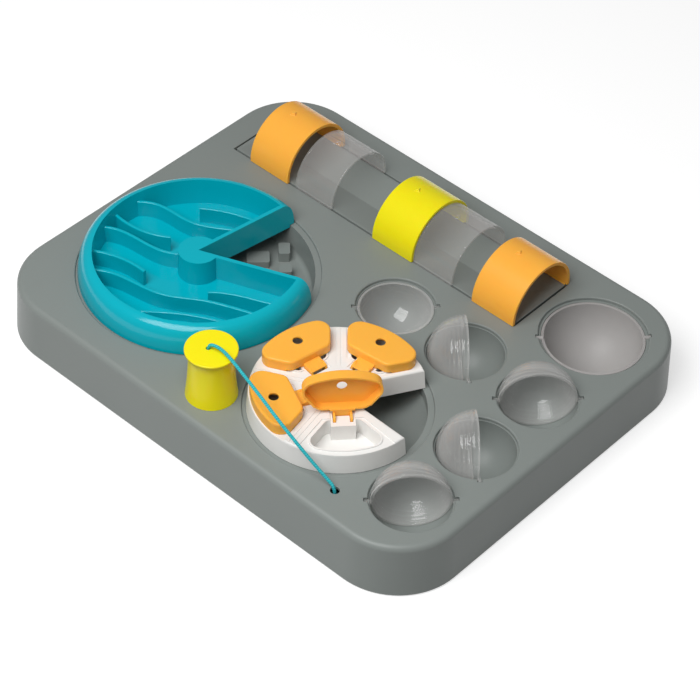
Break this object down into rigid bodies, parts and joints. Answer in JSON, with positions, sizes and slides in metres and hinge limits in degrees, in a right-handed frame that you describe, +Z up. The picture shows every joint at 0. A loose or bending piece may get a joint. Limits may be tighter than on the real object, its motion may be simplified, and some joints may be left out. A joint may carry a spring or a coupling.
{
  "type": "dog puzzle feeder toy",
  "caption": "Low tray for a dog's treats with a revolving maze bowl, a revolving wheel of hinged lids, sliding arches, tipping cups and a cup on a cord.",
  "frame": {"origin": "on the floor, under the middle of the tray", "axes": "+X along the tray's long side towards the tipping cups, +Y towards the sliding arches at the back, +Z up"},
  "size_m": [0.4048, 0.3208, 0.0931],
  "materials": {
    "tray_grey": "satin moulded grey plastic",
    "base_grey": "plain moulded grey plastic",
    "screw_steel": "zinc-plated steel",
    "foot_rubber": "moulded rubber",
    "teal": "glossy teal plastic",
    "white": "glossy warm white plastic",
    "orange": "glossy orange plastic",
    "yellow": "glossy yellow plastic",
    "clear": "smoky clear plastic",
    "cord_teal": "braided cord"
  },
  "bodies": {
    "tray": {"tray_shell": "tray_grey", "base_plate": "base_grey", "base_screws": "screw_steel", "rubber_feet": "foot_rubber", "bowl_pan": "tray_grey", "wheel_well": "tray_grey", "slider_bed": "tray_grey", "pocket_a": "tray_grey", "pocket_b": "tray_grey", "pocket_c": "tray_grey", "pocket_d": "tray_grey", "pocket_e": "tray_grey", "pocket_f": "tray_grey", "tray_knot": "cord_teal"},
    "bowl": {"maze_bowl": "teal", "bowl_washer": "screw_steel", "bowl_screw": "screw_steel"},
    "wheel": {"lid_wheel": "white", "lid_pins": "screw_steel", "wheel_washer": "screw_steel", "wheel_screw": "screw_steel"},
    "lid_1_body": {"lid_1": "orange"},
    "lid_2_body": {"lid_2": "orange"},
    "lid_3_body": {"lid_3": "orange"},
    "lid_4_body": {"lid_4": "orange"},
    "orange_arch_left": {"arch_orange_left": "orange"},
    "clear_arch_left": {"arch_clear_left": "clear"},
    "yellow_arch": {"arch_yellow": "yellow"},
    "clear_arch_right": {"arch_clear_right": "clear"},
    "orange_arch_right": {"arch_orange_right": "orange"},
    "cup_a_body": {"cup_a": "clear"},
    "cup_b_body": {"cup_b": "clear"},
    "cup_c_body": {"cup_c": "clear"},
    "cup_d_body": {"cup_d": "clear"},
    "cup_e_body": {"cup_e": "clear"},
    "cup_f_body": {"cup_f": "clear"},
    "tethered_cup": {"tether_cup": "yellow", "cup_knot": "cord_teal", "cord": "cord_teal"}
  },
  "joints": [
    {"name": "bowl_turn", "type": "hinge", "parent": "tray", "child": "bowl", "pos_m": [-0.0981, -0.0468, 0.0418], "axis": [0, 0, 1], "continuous": true},
    {"name": "wheel_turn", "type": "hinge", "parent": "tray", "child": "wheel", "pos_m": [0.0665, -0.0765, 0.0439], "axis": [0, 0, 1], "continuous": true},
    {"name": "lid_1_hinge", "type": "hinge", "parent": "wheel", "child": "lid_1_body", "pos_m": [0.06376, -0.05044, 0.0583], "axis": [0.9945, 0.1045, 0], "range_deg": [0, 100]},
    {"name": "lid_2_hinge", "type": "hinge", "parent": "wheel", "child": "lid_2_body", "pos_m": [0.0407, -0.07195, 0.0583], "axis": [-0.1736, -0.9848, 0], "range_deg": [-100, 0]},
    {"name": "lid_3_hinge", "type": "hinge", "parent": "wheel", "child": "lid_3_body", "pos_m": [0.05502, -0.10005, 0.0583], "axis": [-0.8988, 0.4384, 0], "range_deg": [0, 25]},
    {"name": "lid_4_hinge", "type": "hinge", "parent": "wheel", "child": "lid_4_body", "pos_m": [0.08597, -0.09403, 0.0583], "axis": [0.6691, 0.7431, 0], "range_deg": [-6, 94]},
    {"name": "orange_left_slide", "type": "slide", "parent": "tray", "child": "orange_arch_left", "axis": [1, 0, 0], "range_m": [-0.019, 0.0067]},
    {"name": "clear_left_slide", "type": "slide", "parent": "tray", "child": "clear_arch_left", "axis": [1, 0, 0], "range_m": [-0.0067, 0.0419]},
    {"name": "yellow_slide", "type": "slide", "parent": "tray", "child": "yellow_arch", "axis": [1, 0, 0], "range_m": [-0.0419, 0.0002]},
    {"name": "clear_right_slide", "type": "slide", "parent": "tray", "child": "clear_arch_right", "axis": [1, 0, 0], "range_m": [-0.0002, 0.0203]},
    {"name": "orange_right_slide", "type": "slide", "parent": "tray", "child": "orange_arch_right", "axis": [1, 0, 0], "range_m": [-0.0203, 0.0015]},
    {"name": "cup_a_tip", "type": "hinge", "parent": "tray", "child": "cup_a_body", "pos_m": [0.0284, 0.0252, 0.0426], "axis": [0.7071, 0.7071, 0], "range_deg": [0, 180]},
    {"name": "cup_b_tip", "type": "hinge", "parent": "tray", "child": "cup_b_body", "pos_m": [0.0943, 0.0252, 0.0426], "axis": [0.7071, -0.7071, 0], "range_deg": [-90, 90]},
    {"name": "cup_c_tip", "type": "hinge", "parent": "tray", "child": "cup_c_body", "pos_m": [0.1602, 0.0252, 0.0426], "axis": [0.7071, 0.7071, 0], "range_deg": [-95, 85]},
    {"name": "cup_d_tip", "type": "hinge", "parent": "tray", "child": "cup_d_body", "pos_m": [0.1602, -0.0407, 0.0426], "axis": [0.7071, -0.7071, 0], "range_deg": [-90, 90]},
    {"name": "cup_e_tip", "type": "hinge", "parent": "tray", "child": "cup_e_body", "pos_m": [0.1602, -0.1066, 0.0426], "axis": [0.7071, 0.7071, 0], "range_deg": [-95, 85]},
    {"name": "cup_f_tip", "type": "hinge", "parent": "tray", "child": "cup_f_body", "pos_m": [0.1488, 0.1009, 0.0426], "axis": [0.7071, 0.7071, 0], "range_deg": [0, 180]},
    {"name": "tethered_cup_lift", "type": "slide", "parent": "tray", "child": "tethered_cup", "axis": [0, 0, 1], "range_m": [0, 0.04]}
  ]
}
